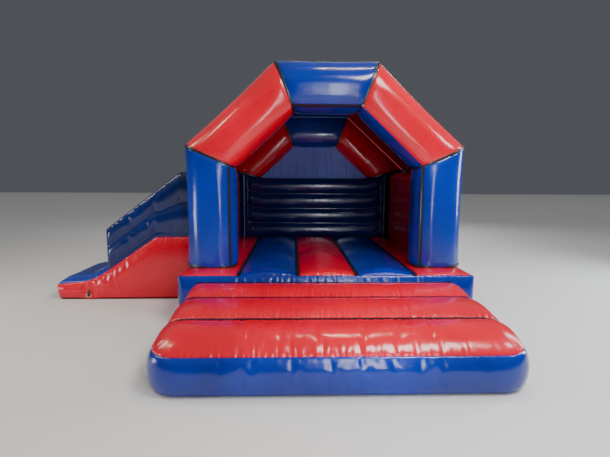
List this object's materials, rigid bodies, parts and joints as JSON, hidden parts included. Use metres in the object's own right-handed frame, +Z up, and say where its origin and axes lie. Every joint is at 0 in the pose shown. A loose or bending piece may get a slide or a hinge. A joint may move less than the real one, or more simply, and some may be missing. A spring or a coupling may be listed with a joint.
{
  "type": "inflatable bounce house",
  "caption": "Air-filled bounce house: a jumping bed under an A-frame roof, with a front step, a side slide with safety walls, ground anchors and its blower.",
  "frame": {"origin": "middle of the castle base's underside, on the ground", "axes": "+Z up; the front with the step faces -Y; +X to the right seen from the front, the slide leaves on the -X side"},
  "size_m": [5.723, 5.413, 3.276],
  "materials": {
    "pvc_red": "glossy PVC-coated polyester, plasticised, inflated",
    "pvc_blue": "glossy PVC-coated polyester, plasticised, inflated",
    "cover_pvc": "light PVC-coated polyester, satin",
    "curtain_blue": "thin pleated PVC-coated polyester, lets light through",
    "web_pvc": "uncoated side of PVC fabric",
    "ground_pvc": "heavy matt PVC ground sheet",
    "sleeve_pvc": "PVC-coated polyester, satin",
    "tape_black": "black PVC seam tape, semi-gloss",
    "webbing_black": "black polyester webbing and patches",
    "ring_steel": "zinc-plated steel",
    "zip_metal": "die-cast zip slider",
    "shaft_steel": "ground steel",
    "motor_paint": "satin enamel",
    "impeller_plastic": "glass-filled nylon",
    "blower_shell": "moulded polyethylene, light texture",
    "blower_black": "moulded black plastic",
    "grip_black": "soft grip over a moulded handle",
    "foot_rubber": "matt rubber",
    "rocker_red": "moulded rocker"
  },
  "bodies": {
    "castle": {"ground_sheets": "ground_pvc", "bed_beam_1": "pvc_red", "bed_beam_2": "pvc_blue", "bed_beam_3": "pvc_red", "bed_beam_4": "pvc_blue", "bed_beam_5": "pvc_red", "bed_webs": "web_pvc", "seam_tapes": "tape_black", "base_front_wall": "pvc_blue", "base_side_walls": "pvc_blue", "step_beam_rear": "pvc_red", "step_beam_middle": "pvc_red", "step_beam_front": "pvc_red", "step_skirt": "pvc_blue", "front_column_left": "pvc_blue", "front_column_right": "pvc_blue", "front_diagonal_left": "pvc_red", "front_diagonal_right": "pvc_red", "front_top_beam": "pvc_blue", "rear_column_left": "pvc_blue", "rear_column_right": "pvc_blue", "rear_diagonal_left": "pvc_red", "rear_diagonal_right": "pvc_red", "rear_top_beam": "pvc_blue", "rear_wall": "pvc_blue", "side_wall_left": "pvc_red", "side_wall_right": "pvc_red", "roof_cover": "cover_pvc", "rear_curtain": "curtain_blue", "slide_bed": "pvc_blue", "slide_side_near": "pvc_red", "slide_side_far": "pvc_red", "slide_wall_near": "pvc_blue", "slide_wall_far": "pvc_blue", "anchor_tabs": "webbing_black", "zip_tape": "webbing_black", "inflation_sleeve": "sleeve_pvc", "sleeve_strap": "webbing_black", "blower_housing_left": "blower_shell", "blower_housing_right": "blower_shell", "blower_nozzle": "blower_black", "motor_case": "motor_paint", "blower_grilles": "blower_black", "blower_handle": "grip_black", "blower_base": "blower_black", "blower_feet": "foot_rubber", "switch_box": "blower_black", "cable_gland": "blower_black"},
    "impeller": {"blower_impeller": "impeller_plastic", "motor_shaft": "shaft_steel"},
    "rocker": {"switch_rocker": "rocker_red"},
    "zip_slider": {"zip_slider": "zip_metal"},
    "zip_flap": {"zip_flap": "pvc_blue"},
    "ring_slide_near": {"anchor_ring_slide_near": "ring_steel"},
    "ring_slide_far": {"anchor_ring_slide_far": "ring_steel"},
    "ring_left_front": {"anchor_ring_left_front": "ring_steel"},
    "ring_right_front": {"anchor_ring_right_front": "ring_steel"},
    "ring_rear_left": {"anchor_ring_rear_left": "ring_steel"},
    "ring_rear_right": {"anchor_ring_rear_right": "ring_steel"}
  },
  "joints": [
    {"name": "impeller_spin", "type": "hinge", "parent": "castle", "child": "impeller", "pos_m": [-3.23, 1.43, 0.255], "axis": [0, 1, 0], "continuous": true},
    {"name": "rocker_tip", "type": "hinge", "parent": "castle", "child": "rocker", "pos_m": [-3.345, 1.274, 0.475], "axis": [1, 0, 0], "range_deg": [-16, 0]},
    {"name": "zip_slide", "type": "slide", "parent": "castle", "child": "zip_slider", "axis": [1, 0, 0], "range_m": [0, 0.562]},
    {"name": "flap_lift", "type": "hinge", "parent": "castle", "child": "zip_flap", "pos_m": [0, 1.847, 0.35325], "axis": [1, 0, 0], "range_deg": [0, 150]},
    {"name": "swing_slide_near", "type": "hinge", "parent": "castle", "child": "ring_slide_near", "pos_m": [-3.42, -0.814, 0.078], "axis": [-1, 0, 0], "range_deg": [0, 170]},
    {"name": "swing_slide_far", "type": "hinge", "parent": "castle", "child": "ring_slide_far", "pos_m": [-3.42, 0.664, 0.078], "axis": [1, 0, 0], "range_deg": [0, 170]},
    {"name": "swing_left_front", "type": "hinge", "parent": "castle", "child": "ring_left_front", "pos_m": [-1.844, -1.5, 0.078], "axis": [0, 1, 0], "range_deg": [0, 170]},
    {"name": "swing_right_front", "type": "hinge", "parent": "castle", "child": "ring_right_front", "pos_m": [1.844, -1.5, 0.078], "axis": [0, -1, 0], "range_deg": [0, 170]},
    {"name": "swing_rear_left", "type": "hinge", "parent": "castle", "child": "ring_rear_left", "pos_m": [-1.5, 1.844, 0.078], "axis": [1, 0, 0], "range_deg": [0, 170]},
    {"name": "swing_rear_right", "type": "hinge", "parent": "castle", "child": "ring_rear_right", "pos_m": [1.5, 1.844, 0.078], "axis": [1, 0, 0], "range_deg": [0, 170]}
  ]
}
